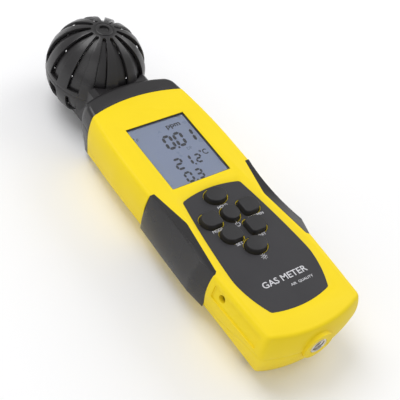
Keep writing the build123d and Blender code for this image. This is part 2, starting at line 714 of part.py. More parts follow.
def hub_cut(z_outer, z_inner):
    """The blind round recess and its faint ring at a pole of the ball."""
    step = 1 if z_outer > z_inner else -1
    low, high = sorted((z_outer + step, z_outer - step * HUB_HOLE_DEPTH))
    cut = rod(0, BALL_Y, low, high, HUB_HOLE_R)
    ring_depth = z_outer - step * HUB_RING_DEPTH - step * 0.45
    low, high = sorted((z_outer + step, ring_depth))
    ring = rod(0, BALL_Y, low, high, HUB_RING_R + 0.25) - rod(0, BALL_Y, low, high, HUB_RING_R - 0.1)
    return cut + ring


def hub_boss(z0, z1):
    """The boss inside a pole, cut to the ball's form."""
    return rod(0, BALL_Y, z0, z1, HUB_BOSS_R) & ball(BALL_R - BALL_WALL / 2)


def make_head_front(skin, hollow):
    """The front half of the sensor head."""
    top_z = BALL_Z + BALL_R
    shape = head_solid(skin, hollow, True) + hub_boss(top_z - HUB_BOSS_L, top_z) - hub_cut(top_z, BALL_Z)
    posts = [rod(x, y, SEAM_Z + SEAM_GAP / 2, NECK_TOP_Z - NECK_WALL / 2, PILLAR_R - 0.6)
             for x, y in NECK_SCREWS]
    holes = [rod(x, y, SEAM_Z - 1, SEAM_Z + 6.0, SCREW_R) for x, y in NECK_SCREWS]
    return shape + posts - holes


def make_head_back(skin, hollow):
    """The back half of the sensor head, with the posts that the sensor board rests on."""
    shape = head_solid(skin, hollow, False) + hub_boss(0, HUB_BOSS_L) - hub_cut(0, BALL_Z)
    posts = [rod(x, y, NECK_LOW_Z + NECK_WALL / 2, SEAM_Z - SEAM_GAP / 2, PILLAR_R - 0.2)
             for x, y in NECK_SCREWS]
    rests = [rod(sx * POST_X, POST_Y, NECK_LOW_Z + NECK_WALL / 2, SENSOR_BOARD_Z, POST_R)
             for sx in (-1, 1)]
    shape = shape + posts + rests
    for x, y in NECK_SCREWS:
        shape = shape - rod(x, y, -1, NECK_LOW_Z + SCREW_SEAT_Z, SCREW_HEAD_R + SCREW_FIT)
        shape = shape - rod(x, y, -1, SEAM_Z, SCREW_HOLE_R)
    return shape


def make_baffle(front):
    """An inner cage whose petals stand close behind the outer cage's slots."""
    outer = BALL_R - BALL_WALL - BAFFLE_GAP
    shell = ball(outer) - ball(outer - BAFFLE_WALL)
    if front:
        keep = block(-FAR, FAR, -FAR, FAR, SEAM_Z + SEAM_GAP / 2, FAR)
        slot_z = (SEAM_Z + BAND_HALF, FAR)
        rim_z = (SEAM_Z + SEAM_GAP / 2, SEAM_Z + BAFFLE_RIM)
    else:
        keep = block(-FAR, FAR, -FAR, FAR, -FAR, SEAM_Z - SEAM_GAP / 2)
        slot_z = (-FAR, SEAM_Z - BAND_HALF)
        rim_z = (SEAM_Z - BAFFLE_RIM, SEAM_Z - SEAM_GAP / 2)
    rim = rod(0, BALL_Y, *rim_z, BALL_R - BALL_WALL - BAFFLE_FIT)
    rim = rim - rod(0, BALL_Y, 0, FAR, outer - BAFFLE_WALL)
    phase = 180 / RIBS
    shape = (shell & keep) - slot_cutters(RIBS, phase, BAFFLE_SLOT_DEG, BAFFLE_SLOT_START_R, *slot_z)
    door_half = SENSOR_BOARD_HALF + BAFFLE_DOOR_FIT
    door = block(-door_half, door_half, 0, BALL_Y, SENSOR_BOARD_Z - BAFFLE_DOOR_FIT,
                 SENSOR_BOARD_Z + BOARD_T + CHIP_T + BAFFLE_DOOR_FIT)
    return shape + rim - door - rod(0, BALL_Y, -FAR, FAR, HUB_BOSS_R + BAFFLE_FIT / 2)


# ---------------------------------------------------------------- keys
def make_key(x, y, face):
    """A domed key cap with the flange and stem behind the front wall."""
    top = PANEL_Z + KEY_RISE
    cap = prism(face(0), INNER_Z - KEY_FREE - KEY_FLANGE_T, top)
    cap = fillet(cap.faces().sort_by(Axis.Z)[-1].edges(), KEY_EDGE_R)
    flange = prism(face(KEY_FLANGE), INNER_Z - KEY_FREE - KEY_FLANGE_T, INNER_Z - KEY_FREE)
    stem_low = BOARD_TOP_Z + SWITCH_T + PLUNGER_T + KEY_TRAVEL + KEY_FREE
    stem = rod(0, 0, stem_low, INNER_Z - KEY_FREE - KEY_FLANGE_T / 2, KEY_STEM_R)
    return Pos(x, y, 0) * (cap + flange + stem)


def make_key_switches():
    """Seven small push switches on the main board, one under each key."""
    solids = []
    for x, y, _ in KEYS.values():
        half = SWITCH_W / 2
        base = block(x - half, x + half, y - half, y + half, BOARD_TOP_Z, BOARD_TOP_Z + SWITCH_T)
        solids.append(base + rod(x, y, BOARD_TOP_Z + SWITCH_T, BOARD_TOP_Z + SWITCH_T + PLUNGER_T, PLUNGER_R))
    return solids


# ---------------------------------------------------------------- display stack and boards
def make_display_window():
    """The clear window set in the front shell's opening."""
    half_w = WINDOW_W / 2 - WINDOW_FIT
    half_h = WINDOW_H / 2 - WINDOW_FIT
    return block(-half_w, half_w, WINDOW_Y - half_h, WINDOW_Y + half_h, LENS_LOW_Z, LENS_TOP_Z)


def make_display_gasket():
    """The black frame between window and glass, which keeps dust out."""
    half_w = WINDOW_W / 2 - WINDOW_FIT
    half_h = WINDOW_H / 2 - WINDOW_FIT
    frame = block(-half_w, half_w, WINDOW_Y - half_h, WINDOW_Y + half_h, LCD_TOP_Z, LENS_LOW_Z)
    half_w = half_w - GASKET_WALL
    half_h = half_h - GASKET_WALL
    return frame - block(-half_w, half_w, WINDOW_Y - half_h, WINDOW_Y + half_h, LCD_TOP_Z - 1, FRONT_Z)


def make_lcd_glass():
    """The liquid crystal cell."""
    return block(-LCD_W / 2, LCD_W / 2, LCD_FOOT_Y, LCD_HEAD_Y, LCD_LOW_Z, LCD_TOP_Z)


def make_backlight():
    """The light guide behind the glass."""
    return block(-LCD_W / 2, LCD_W / 2, LCD_FOOT_Y + STRIP_LEDGE, LCD_HEAD_Y, LIGHT_LOW_Z, LCD_LOW_Z)


def make_contact_strip():
    """The striped rubber connector between glass and board."""
    y = LCD_FOOT_Y + STRIP_LEDGE / 2
    half = WINDOW_W / 2
    return block(-half, half, y - STRIP_W / 2, y + STRIP_W / 2, BOARD_TOP_Z, LCD_LOW_Z)


def make_display_holder():
    """The frame that holds glass and light guide over the main board."""
    side = LCD_W / 2 + HOLDER_FIT
    foot = LCD_FOOT_Y - HOLDER_FIT
    head = LCD_HEAD_Y + HOLDER_FIT
    outer = block(-side - HOLDER_WALL, side + HOLDER_WALL, foot - HOLDER_WALL, head + HOLDER_WALL,
                  BOARD_TOP_Z, INNER_Z - HOLDER_FIT)
    well = block(-side, side, foot, head, LIGHT_LOW_Z, FRONT_Z)
    under = block(-side + HOLDER_SHELF, side - HOLDER_SHELF, foot + STRIP_LEDGE + HOLDER_SHELF,
                  head - HOLDER_SHELF, 0, FRONT_Z)
    strip = block(-WINDOW_W / 2 - HOLDER_FIT, WINDOW_W / 2 + HOLDER_FIT, foot + HOLDER_FIT,
                  foot + STRIP_LEDGE, 0, FRONT_Z)
    return outer - well - under - strip


def make_main_board():
    """The main circuit board, notched round the case pillars."""
    low = BOARD_TOP_Z - BOARD_T
    board = block(-BOARD_HALF, BOARD_HALF, BOARD_FOOT_Y, BOARD_HEAD_Y, low, BOARD_TOP_Z)
    for x, y in CASE_SCREWS:
        board = board - rod(x, y, low - 1, BOARD_TOP_Z + 1, PILLAR_R + BOARD_NOTCH)
    for x, y in BOARD_SCREWS:
        board = board - rod(x, y, low - 1, BOARD_TOP_Z + 1, SCREW_HOLE_R)
    return board


def make_processor():
    """The microcontroller under the main board."""
    low = BOARD_TOP_Z - BOARD_T
    half = PROCESSOR_W / 2
    return block(-half, half, -half - 10, half - 10, low - PROCESSOR_T, low)


def make_buzzer():
    """The round alarm sounder under the main board."""
    low = BOARD_TOP_Z - BOARD_T
    can = rod(-12, 18, low - BUZZER_T, low, BUZZER_R)
    return can - rod(-12, 18, low - BUZZER_T - 1, low - BUZZER_T + 1, 1.0)


def make_jack_socket():
    """The side socket, soldered on the main board, its nose in the case wall."""
    body_x = JACK_INSET - edge_half_width(JACK_Y)
    nose_x = body_x - JACK_NOSE_L
    body_top = JACK_Z + JACK_NOSE_R
    body = block(body_x, body_x + JACK_DEPTH, JACK_Y - JACK_W / 2, JACK_Y + JACK_W / 2,
                 BOARD_TOP_Z, body_top)
    body = body + rod_x(JACK_Y, JACK_Z, nose_x, body_x + 1, JACK_NOSE_R)
    return body - rod_x(JACK_Y, JACK_Z, nose_x - 1, nose_x + JACK_DEPTH, JACK_R)


def make_tripod_insert():
    """The threaded metal insert in the foot boss."""
    y0 = END_Y - 0.15
    sleeve = rod_y(0, INSERT_Z, y0, END_Y + INSERT_L, INSERT_R)
    bore = rod_y(0, INSERT_Z, y0 - 1, END_Y + INSERT_L - 1.0, INSERT_BORE_R)
    return chamfer((sleeve - bore).edges().filter_by(GeomType.CIRCLE).group_by(Axis.Y)[0], 0.35)


def make_battery():
    """A nine volt block battery with its two snap studs."""
    half = BATTERY_W / 2
    cell_head = BATTERY_HEAD_Y - BATTERY_STUD_L
    cell = block(-half, half, BATTERY_FOOT_Y, cell_head, BATTERY_Z, BATTERY_Z + BATTERY_T)
    cell = fillet(cell.edges().filter_by(Axis.Y), 1.6)
    z = BATTERY_Z + BATTERY_T / 2
    studs = [rod_y(sx * BATTERY_STUD_X, z, cell_head - 0.5, BATTERY_HEAD_Y, BATTERY_STUD_R)
             for sx in (-1, 1)]
    return cell + studs


def make_battery_clip():
    """The snap plate that takes the battery's studs."""
    z = BATTERY_Z + BATTERY_T / 2
    foot = BATTERY_HEAD_Y - BATTERY_STUD_L + 0.2
    head = BAY_HEAD_Y - BAY_WALL - 0.2
    plate = block(-BATTERY_W / 2 + 0.5, BATTERY_W / 2 - 0.5, foot, head, z - 6.0, z + 6.0)
    for sx in (-1, 1):
        plate = plate - rod_y(sx * BATTERY_STUD_X, z, foot - 1, BATTERY_HEAD_Y + 0.2, BATTERY_STUD_R + 0.15)
    return plate


def make_battery_leads():
    """Two insulated leads from the snap plate up to the main board."""
    z = BATTERY_Z + BATTERY_T / 2 + 6.0
    y = BAY_HEAD_Y - BAY_WALL - 1.6
    return [rod(sx * BATTERY_STUD_X, y, z, BOARD_TOP_Z - BOARD_T, 0.65) for sx in (-1, 1)]


def make_sensor_board():
    """The sensor head's own board, a tongue with a round end."""
    low = SENSOR_BOARD_Z
    tongue = block(-SENSOR_BOARD_HALF, SENSOR_BOARD_HALF, SENSOR_BOARD_FOOT_Y, BALL_Y, low, low + BOARD_T)
    return tongue + rod(0, BALL_Y, low, low + BOARD_T, SENSOR_DISC_R)


def make_gas_sensor():
    """The gas sensor's can, with a raised rim round its inlet."""
    low = SENSOR_BOARD_Z + BOARD_T
    can = rod(0, BALL_Y, low, low + GAS_SENSOR_T, GAS_SENSOR_R)
    can = fillet(can.edges().group_by(Axis.Z)[-1], 0.8)
    return can - rod(0, BALL_Y, low + GAS_SENSOR_T - MEMBRANE_T, FAR, MEMBRANE_R)


def make_sensor_membrane():
    """The white dust membrane on the sensor's inlet."""
    top = SENSOR_BOARD_Z + BOARD_T + GAS_SENSOR_T
    return rod(0, BALL_Y, top - MEMBRANE_T, top - MEMBRANE_T / 5, MEMBRANE_R - 0.1)


def make_humidity_chip():
    """The small temperature and humidity sensor."""
    low = SENSOR_BOARD_Z + BOARD_T
    return block(-CHIP_W / 2, CHIP_W / 2, CHIP_Y - CHIP_W / 2, CHIP_Y + CHIP_W / 2, low, low + CHIP_T)


def make_connectors():
    """A ribbon connector on each board."""
    half = CONNECTOR_W / 2
    main = block(-half, half, BOARD_HEAD_Y - CONNECTOR_L, BOARD_HEAD_Y,
                 BOARD_TOP_Z, BOARD_TOP_Z + CONNECTOR_T)
    top = SENSOR_BOARD_Z + BOARD_T
    head = block(-half, half, SENSOR_BOARD_FOOT_Y, SENSOR_BOARD_FOOT_Y + CONNECTOR_L, top, top + CONNECTOR_T)
    return [main, head]


def make_ribbon():
    """The flat ribbon between the two boards."""
    z = BOARD_TOP_Z + CONNECTOR_T / 2
    return block(-RIBBON_W / 2, RIBBON_W / 2, BOARD_HEAD_Y, SENSOR_BOARD_FOOT_Y,
                 z - RIBBON_T / 2, z + RIBBON_T / 2)


# ---------------------------------------------------------------- screws
def screw_up(x, y, seat_z, tip_z):
    """A pan-head screw driven upwards, its head under seat_z."""
    head = rod(x, y, seat_z - SCREW_HEAD_T, seat_z, SCREW_HEAD_R)
    head = fillet(head.edges().group_by(Axis.Z)[0], SCREW_HEAD_T / 3)
    shank = rod(x, y, seat_z, tip_z, SCREW_R)
    low = seat_z - SCREW_HEAD_T
    arm = SCREW_HEAD_R * 0.6
    cross = block(x - arm, x + arm, y - DRIVE_W / 2, y + DRIVE_W / 2, low - 1, low + 0.8)
    cross = cross + block(x - DRIVE_W / 2, x + DRIVE_W / 2, y - arm, y + arm, low - 1, low + 0.8)
    return head + shank - cross


def make_case_screws():
    """Four screws that pull the back shell onto the front one."""
    return [screw_up(x, y, SCREW_SEAT_Z, pillar_parting_z(y) + SCREW_BITE) for x, y in CASE_SCREWS]


def make_board_screws():
    """Four screws that hold the main board under its posts."""
    low = BOARD_TOP_Z - BOARD_T
    return [screw_up(x, y, low, BOARD_TOP_Z + BOARD_SCREW_BITE) for x, y in BOARD_SCREWS]


def make_neck_screws():
    """Two screws that join the halves of the sensor head."""
    return [screw_up(x, y, NECK_LOW_Z + SCREW_SEAT_Z, SEAM_Z + 5.5) for x, y in NECK_SCREWS]


# ---------------------------------------------------------------- build
def build_parts():
    """Every node of the meter by name."""
    skin = envelope()
    front_rim = skin.faces().sort_by(Axis.Z)[-1].edges()
    collar_skin = fillet(front_rim, COLLAR_EDGE_R)
    skin = fillet(front_rim, FRONT_EDGE_R)
    hollow = envelope(WALL)
    seat = envelope(GRIP_SEAT)
    label = prism(panel_face(0), PANEL_Z - PANEL_T, PANEL_Z)
    grip = make_grip(seat)
    nodes = {
        "front_shell": make_front_shell(skin, hollow),
        "back_shell": make_back_shell(skin, hollow),
        "battery_door": make_door(),
        "grip_right": grip,
        "grip_left": mirrored(grip),
        "head_front": make_head_front(collar_skin, hollow),
        "head_back": make_head_back(collar_skin, hollow),
        "baffle_front": make_baffle(True),
        "baffle_back": make_baffle(False),
        "keypad_label": label - key_holes(KEY_GAP + LABEL_GAP, 0, FAR),
        "display_window": make_display_window(),
        "display_gasket": make_display_gasket(),
        "lcd_glass": make_lcd_glass(),
        "backlight": make_backlight(),
        "contact_strip": make_contact_strip(),
        "display_holder": make_display_holder(),
        "main_board": make_main_board(),
        "key_switches": make_key_switches(),
        "processor": make_processor(),
        "buzzer": make_buzzer(),
        "jack_socket": make_jack_socket(),
        "tripod_insert": make_tripod_insert(),
        "battery": make_battery(),
        "battery_clip": make_battery_clip(),
        "battery_leads": make_battery_leads(),
        "sensor_board": make_sensor_board(),
        "gas_sensor": make_gas_sensor(),
        "sensor_membrane": make_sensor_membrane(),
        "humidity_chip": make_humidity_chip(),
        "ribbon_connectors": make_connectors(),
        "sensor_ribbon": make_ribbon(),
        "case_screws": make_case_screws(),
        "board_screws": make_board_screws(),
        "neck_screws": make_neck_screws(),
    }
    for name, (x, y, face) in KEYS.items():
        nodes[name] = make_key(x, y, face)
    return nodes


def write_parts():
    """Writes one STEP file for each node."""
    os.makedirs("parts", exist_ok=True)
    for name, shape in build_parts().items():
        solids = shape if isinstance(shape, list) else shape.solids()
        export_step(Compound(children=list(solids)) if len(solids) > 1 else solids[0], f"parts/{name}.step")


write_parts()
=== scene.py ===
"""Looks of a handheld gas meter with a caged sensor head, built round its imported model."""

import json
import logging
import math
from dataclasses import dataclass
from enum import Enum

import bmesh
import bpy
from mathutils import Matrix, Vector

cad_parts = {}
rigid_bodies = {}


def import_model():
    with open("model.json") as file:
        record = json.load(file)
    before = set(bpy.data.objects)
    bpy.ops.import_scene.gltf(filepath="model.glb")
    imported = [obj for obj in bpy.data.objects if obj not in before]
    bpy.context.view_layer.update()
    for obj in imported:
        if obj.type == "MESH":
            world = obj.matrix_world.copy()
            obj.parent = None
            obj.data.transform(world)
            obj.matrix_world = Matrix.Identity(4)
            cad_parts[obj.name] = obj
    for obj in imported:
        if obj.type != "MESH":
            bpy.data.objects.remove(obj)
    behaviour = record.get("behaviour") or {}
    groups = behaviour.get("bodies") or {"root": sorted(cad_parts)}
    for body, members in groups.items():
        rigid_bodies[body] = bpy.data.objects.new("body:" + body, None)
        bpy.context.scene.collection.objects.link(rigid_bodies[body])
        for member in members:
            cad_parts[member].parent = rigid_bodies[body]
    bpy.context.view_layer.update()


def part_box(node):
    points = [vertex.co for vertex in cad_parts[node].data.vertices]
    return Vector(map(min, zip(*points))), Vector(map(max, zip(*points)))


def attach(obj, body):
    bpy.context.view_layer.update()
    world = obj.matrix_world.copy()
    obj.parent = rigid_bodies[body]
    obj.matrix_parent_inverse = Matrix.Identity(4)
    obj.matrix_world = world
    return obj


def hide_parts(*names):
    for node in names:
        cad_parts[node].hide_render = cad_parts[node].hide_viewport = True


logging.basicConfig(level=logging.INFO, format="%(message)s")
log = logging.getLogger("gas_meter")

MM = 0.001
METER = "meter"
Colour = tuple[float, float, float]
Place = tuple[float, float, float]
Spot = tuple[float, float]

WELD = 1e-6
FLAT_DEGREES = 0.3
SHARP_DEGREES = 28.0


# ---------------------------------------------------------------- shared shader effects
class Effect(Enum):
    """Shader node groups that several finishes share."""

    GRAIN = "moulded_grain"
    MOTTLE = "colour_mottle"


def new_group(effect: Effect, inputs: dict[str, float | Colour],
              outputs: dict[str, str]) -> bpy.types.NodeTree:
    """Makes an empty shader group with named sockets.

    Args:
        effect: Which effect the group is for.
        inputs: Socket names with their defaults; a triple makes a colour socket.
        outputs: Socket names with their socket types.

    Returns:
        The node tree, with its Group Input and Group Output placed.
    """
    tree = bpy.data.node_groups.new(effect.value, "ShaderNodeTree")
    for name, value in inputs.items():
        coloured = isinstance(value, tuple)
        kind = "NodeSocketColor" if coloured else "NodeSocketFloat"
        socket = tree.interface.new_socket(name, in_out="INPUT", socket_type=kind)
        socket.default_value = (*value, 1.0) if coloured else value
    for name, kind in outputs.items():
        tree.interface.new_socket(name, in_out="OUTPUT", socket_type=kind)
    tree.nodes.new("NodeGroupInput")
    tree.nodes.new("NodeGroupOutput")
    return tree


def object_noise(tree: bpy.types.NodeTree, scale: float, detail: float) -> bpy.types.Node:
    """Adds a noise texture on Object coordinates.

    Args:
        tree: The tree that it goes in.
        scale: Noise scale, per metre.
        detail: Number of octaves.

    Returns:
        The noise node.
    """
    coordinates = tree.nodes.new("ShaderNodeTexCoord")
    noise = tree.nodes.new("ShaderNodeTexNoise")
    noise.inputs["Scale"].default_value = scale
    noise.inputs["Detail"].default_value = detail
    tree.links.new(coordinates.outputs["Object"], noise.inputs["Vector"])
    return noise


def build_grain() -> bpy.types.NodeTree:
    """Builds the fine texture of a moulded surface: a normal, and roughness that varies.

    Returns:
        The group, with inputs Scale, Depth, Low and High.
    """
    tree = new_group(
        Effect.GRAIN,
        {"Scale": 2500.0, "Depth": 0.00002, "Low": 0.35, "High": 0.5},
        {"Normal": "NodeSocketVector", "Roughness": "NodeSocketFloat"},
    )
    given = tree.nodes["Group Input"]
    out = tree.nodes["Group Output"]
    fine = object_noise(tree, 1.0, 2.0)
    tree.links.new(given.outputs["Scale"], fine.inputs["Scale"])
    bump = tree.nodes.new("ShaderNodeBump")
    bump.inputs["Strength"].default_value = 1.0
    tree.links.new(given.outputs["Depth"], bump.inputs["Distance"])
    tree.links.new(fine.outputs["Fac"], bump.inputs["Height"])
    broad = object_noise(tree, 70.0, 3.0)
    spread = tree.nodes.new("ShaderNodeMapRange")
    spread.inputs["From Min"].default_value = 0.3
    spread.inputs["From Max"].default_value = 0.7
    tree.links.new(broad.outputs["Fac"], spread.inputs["Value"])
    tree.links.new(given.outputs["Low"], spread.inputs["To Min"])
    tree.links.new(given.outputs["High"], spread.inputs["To Max"])
    tree.links.new(bump.outputs["Normal"], out.inputs["Normal"])
    tree.links.new(spread.outputs["Result"], out.inputs["Roughness"])
    return tree


def build_mottle() -> bpy.types.NodeTree:
    """Builds a slight cloudiness of colour.

    Returns:
        The group, with inputs Base, Tint, Scale and Amount.
    """
    tree = new_group(
        Effect.MOTTLE,
        {"Base": (0.5, 0.5, 0.5), "Tint": (0.4, 0.4, 0.4), "Scale": 45.0, "Amount": 0.3},
        {"Color": "NodeSocketColor"},
    )
    given = tree.nodes["Group Input"]
    noise = object_noise(tree, 45.0, 4.0)
    tree.links.new(given.outputs["Scale"], noise.inputs["Scale"])
    spread = tree.nodes.new("ShaderNodeMapRange")
    spread.inputs["From Min"].default_value = 0.35
    spread.inputs["From Max"].default_value = 0.7
    tree.links.new(noise.outputs["Fac"], spread.inputs["Value"])
    tree.links.new(given.outputs["Amount"], spread.inputs["To Max"])
    mix = tree.nodes.new("ShaderNodeMix")
    mix.data_type = "RGBA"
    tree.links.new(spread.outputs["Result"], mix.inputs["Factor"])
    tree.links.new(given.outputs["Base"], mix.inputs["A"])
    tree.links.new(given.outputs["Tint"], mix.inputs["B"])
    tree.links.new(mix.outputs["Result"], tree.nodes["Group Output"].inputs["Color"])
    return tree


BUILDERS = {Effect.GRAIN: build_grain, Effect.MOTTLE: build_mottle}


def effect_group(effect: Effect) -> bpy.types.NodeTree:
    """Gives an effect's node group, building it on its first use.

    Args:
        effect: Which effect.

    Returns:
        The shared node tree.
    """
    return bpy.data.node_groups.get(effect.value) or BUILDERS[effect]()


# ---------------------------------------------------------------- finishes
@dataclass(frozen=True)
class Finish:
    """A moulded, printed or plated surface.

    Colours are linear. Grain is given as features per metre and depth in metres.
    """

    name: str
    colour: Colour
    tint: Colour
    mottle: float = 0.3
    low: float = 0.35
    high: float = 0.5
    grain: float = 2500.0
    depth: float = 0.00002
    metallic: float = 0.0
    coat: float = 0.0
    coat_roughness: float = 0.1
    specular: float = 0.5
    sheen: float = 0.0

    def build(self) -> bpy.types.Material:
        """Builds the material, or gives the one built before.

        Returns:
            The node-based material.
        """
        known = bpy.data.materials.get(self.name)
        if known:
            return known
        material = bpy.data.materials.new(self.name)
        material.use_nodes = True
        tree = material.node_tree
        shader = tree.nodes["Principled BSDF"]
        shader.inputs["Metallic"].default_value = self.metallic
        shader.inputs["Coat Weight"].default_value = self.coat
        shader.inputs["Coat Roughness"].default_value = self.coat_roughness
        shader.inputs["Specular IOR Level"].default_value = self.specular
        shader.inputs["Sheen Weight"].default_value = self.sheen
        mottle = tree.nodes.new("ShaderNodeGroup")
        mottle.node_tree = effect_group(Effect.MOTTLE)
        mottle.inputs["Base"].default_value = (*self.colour, 1.0)
        mottle.inputs["Tint"].default_value = (*self.tint, 1.0)
        mottle.inputs["Amount"].default_value = self.mottle
        grain = tree.nodes.new("ShaderNodeGroup")
        grain.node_tree = effect_group(Effect.GRAIN)
        grain.inputs["Scale"].default_value = self.grain
        grain.inputs["Depth"].default_value = self.depth
        grain.inputs["Low"].default_value = self.low
        grain.inputs["High"].default_value = self.high
        tree.links.new(mottle.outputs["Color"], shader.inputs["Base Color"])
        tree.links.new(grain.outputs["Roughness"], shader.inputs["Roughness"])
        tree.links.new(grain.outputs["Normal"], shader.inputs["Normal"])
        return material


@dataclass(frozen=True)
class ClearFinish:
    """Clear moulded acrylic."""

    name: str
    roughness: float = 0.03
    ior: float = 1.49

    def build(self) -> bpy.types.Material:
        """Builds the clear material.

        Returns:
            The node-based material.
        """
        material = bpy.data.materials.new(self.name)
        material.use_nodes = True
        tree = material.node_tree
        shader = tree.nodes["Principled BSDF"]
        shader.inputs["Base Color"].default_value = (0.98, 0.99, 1.0, 1.0)
        shader.inputs["Transmission Weight"].default_value = 1.0
        shader.inputs["IOR"].default_value = self.ior
        noise = object_noise(tree, 300.0, 2.0)
        spread = tree.nodes.new("ShaderNodeMapRange")
        spread.inputs["To Min"].default_value = self.roughness * 0.5
        spread.inputs["To Max"].default_value = self.roughness * 1.5
        tree.links.new(noise.outputs["Fac"], spread.inputs["Value"])
        tree.links.new(spread.outputs["Result"], shader.inputs["Roughness"])
        return material


YELLOW_CASE = Finish("yellow_moulding", (0.90, 0.68, 0.012), (0.85, 0.62, 0.010), low=0.42, high=0.52,
                     grain=2600.0, depth=0.000008, specular=0.2)
HEAD_PLASTIC = Finish("head_satin_black", (0.018, 0.017, 0.018), (0.026, 0.024, 0.026), low=0.25, high=0.36,
                      grain=2200.0, depth=0.000010, specular=0.5)
GRIP_RUBBER = Finish("black_grip_rubber", (0.014, 0.013, 0.014), (0.020, 0.019, 0.020), low=0.24, high=0.34,
                     grain=3000.0, depth=0.000008, specular=0.5)
LABEL_FILM = Finish("label_film", (0.030, 0.029, 0.033), (0.036, 0.035, 0.039), mottle=0.25, low=0.5,
                    high=0.62, grain=4200.0, depth=0.000006, specular=0.35)
KEY_RUBBER = Finish("key_rubber", (0.014, 0.0135, 0.015), (0.020, 0.019, 0.021), low=0.45, high=0.6,
                    grain=3800.0, depth=0.000008, sheen=0.05, specular=0.4)
WHITE_INK = Finish("white_ink", (0.60, 0.60, 0.63), (0.52, 0.52, 0.55), low=0.5, high=0.6, depth=0.000001)
LCD_FACE = Finish("lcd_face", (0.33, 0.39, 0.56), (0.36, 0.42, 0.59), mottle=0.5, low=0.25, high=0.35,
                  grain=500.0, depth=0.0000005)
LCD_INK = Finish("lcd_segment", (0.014, 0.016, 0.026), (0.02, 0.022, 0.034), low=0.4, high=0.5,
                 depth=0.0000005)
LCD_FAINT = Finish("lcd_faint_segment", (0.15, 0.18, 0.27), (0.17, 0.20, 0.30), low=0.4, high=0.5,
                   depth=0.0000005)
# The display gasket is a real part, but its dark blue colour is painted shade: it stands in for the
# blue-grey shadow in the recess round the display glass.
GASKET_PAINTED_SHADE = Finish("gasket_blue_painted_shade", (0.075, 0.095, 0.19), (0.09, 0.11, 0.21), low=0.4, high=0.55)
BLACK_PLASTIC = Finish("inner_black", (0.012, 0.012, 0.013), (0.02, 0.02, 0.02), low=0.4, high=0.55)
WHITE_PLASTIC = Finish("inner_white", (0.75, 0.75, 0.72), (0.68, 0.68, 0.64), low=0.35, high=0.5)
NICKEL = Finish("nickel_plate", (0.66, 0.63, 0.57), (0.52, 0.49, 0.44), low=0.16, high=0.30, grain=900.0,
                depth=0.000006, metallic=1.0)
STEEL = Finish("zinc_steel", (0.56, 0.57, 0.58), (0.46, 0.46, 0.46), low=0.24, high=0.42, grain=1200.0,
               depth=0.000005, metallic=1.0)
TIN_CAN = Finish("sensor_can", (0.62, 0.62, 0.60), (0.52, 0.52, 0.5), low=0.25, high=0.4, grain=1500.0,
                 depth=0.000004, metallic=1.0)
MEMBRANE = Finish("dust_membrane", (0.82, 0.82, 0.80), (0.74, 0.73, 0.70), low=0.8, high=0.95, grain=5200.0,
                  depth=0.00003, sheen=0.2)
CIRCUIT = Finish("solder_resist", (0.010, 0.11, 0.035), (0.006, 0.08, 0.025), mottle=0.6, low=0.25, high=0.4,
                 grain=1600.0, depth=0.00001, coat=0.3)
DARK_CIRCUIT = Finish("dark_solder_resist", (0.010, 0.011, 0.012), (0.016, 0.018, 0.018), low=0.3, high=0.45,
                      grain=1600.0, depth=0.00001)
BATTERY_WRAP = Finish("battery_wrap", (0.035, 0.04, 0.055), (0.05, 0.055, 0.07), low=0.28, high=0.4,
                      grain=900.0, depth=0.000004)
LEAD_RED = Finish("lead_insulation", (0.42, 0.015, 0.012), (0.36, 0.012, 0.01), low=0.35, high=0.5)
CLEAR_LENS = ClearFinish("clear_lens")


# ---------------------------------------------------------------- mesh helpers
def heading(degrees: float) -> Vector:
    """Gives the level unit vector at an angle from +X."""
    return Vector((math.cos(math.radians(degrees)), math.sin(math.radians(degrees)), 0.0))


def finish_piece(bm: bmesh.types.BMesh, name: str, finish: Finish, body: str,
                 smooth_angle: float = 35.0) -> bpy.types.Object:
    """Turns a bmesh into a shaded piece that rides on a body.

    Args:
        bm: The finished mesh, in metres in the shared frame; it is freed.
        name: The piece's name.
        finish: Its finish.
        body: The body that it moves with.
        smooth_angle: Edges sharper than this, in degrees, stay sharp.

    Returns:
        The new object.
    """
    mesh = bpy.data.meshes.new(name)
    bm.to_mesh(mesh)
    bm.free()
    mesh.shade_smooth()
    mesh.set_sharp_from_angle(angle=math.radians(smooth_angle))
    mesh.materials.clear()
    mesh.materials.append(finish.build())
    piece = bpy.data.objects.new(name, mesh)
    bpy.context.scene.collection.objects.link(piece)
    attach(piece, body)
    log.info("%s: %d faces", name, len(mesh.polygons))
    return piece


def dress(node: str, finish: Finish | ClearFinish) -> None:
    """Gives a CAD node its finish.

    Args:
        node: The CAD node's name.
        finish: The finish that all of it takes.
    """
    mesh = bpy.data.objects[node].data
    mesh.materials.clear()
    mesh.materials.append(finish.build())


def welded(node: str) -> bmesh.types.BMesh:
    """Copies a CAD node's mesh with its loose triangles joined and its flats made whole.

    Args:
        node: The CAD node's name.

    Returns:
        A closed bmesh.
    """
    bm = bmesh.new()
    bm.from_mesh(bpy.data.objects[node].data)
    bmesh.ops.remove_doubles(bm, verts=bm.verts, dist=WELD)
    bmesh.ops.dissolve_limit(bm, angle_limit=math.radians(FLAT_DEGREES), use_dissolve_boundaries=False,
                             verts=bm.verts, edges=bm.edges, delimit=set())
    return bm


def round_edges(bm: bmesh.types.BMesh, sharper_than: float, width: float, segments: int) -> None:
    """Rounds the edges of a closed mesh that turn sharply.

    Args:
        bm: The mesh.
        sharper_than: Edges that turn by more than this, in degrees, are rounded.
        width: Width of the rounding, in metres.
        segments: Number of faces across it.
    """
    limit = math.radians(sharper_than)
    sharp = [e for e in bm.edges if e.is_manifold and e.calc_face_angle(0.0) > limit]
    bmesh.ops.bevel(bm, geom=sharp, offset=width, offset_type="OFFSET", segments=segments, profile=0.5,
                    affect="EDGES", clamp_overlap=True, material=-1)


